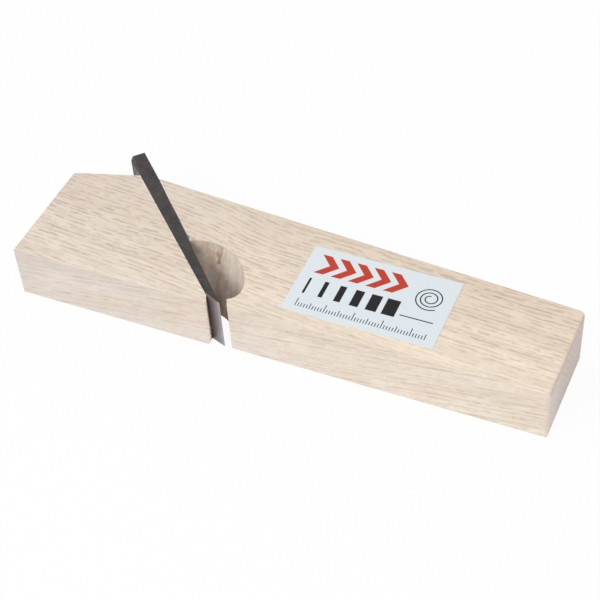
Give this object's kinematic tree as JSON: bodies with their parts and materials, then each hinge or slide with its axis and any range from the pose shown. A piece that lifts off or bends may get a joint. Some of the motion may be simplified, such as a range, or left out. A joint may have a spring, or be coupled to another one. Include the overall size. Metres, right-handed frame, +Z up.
{
  "type": "grooving plane",
  "caption": "Narrow wooden grooving plane lying on its side: a block with a cross mouth and round chip hollow, and a tapered iron wedged in a side slot.",
  "frame": {"origin": "middle of the whole plane's bounding box, on the surface it lies on", "axes": "+Z up, out of the open side; +X along the block from the heel end to the toe end; +Y from the sole to the back"},
  "size_m": [0.1924, 0.0618, 0.0212],
  "materials": {
    "block": "planed, unfinished oak-like hardwood",
    "iron": "black forge scale, ground bevel",
    "edge_steel": "hardened and ground",
    "label": "smooth printed paper"
  },
  "bodies": {
    "block": {"block": "block", "label": "label"},
    "iron": {"iron": "iron", "edge_steel": "edge_steel"}
  },
  "joints": [
    {"name": "iron_slide", "type": "slide", "parent": "block", "child": "iron", "axis": [-0.7242, 0.6896, 0], "range_m": [-0.0019, 0.0102]}
  ]
}
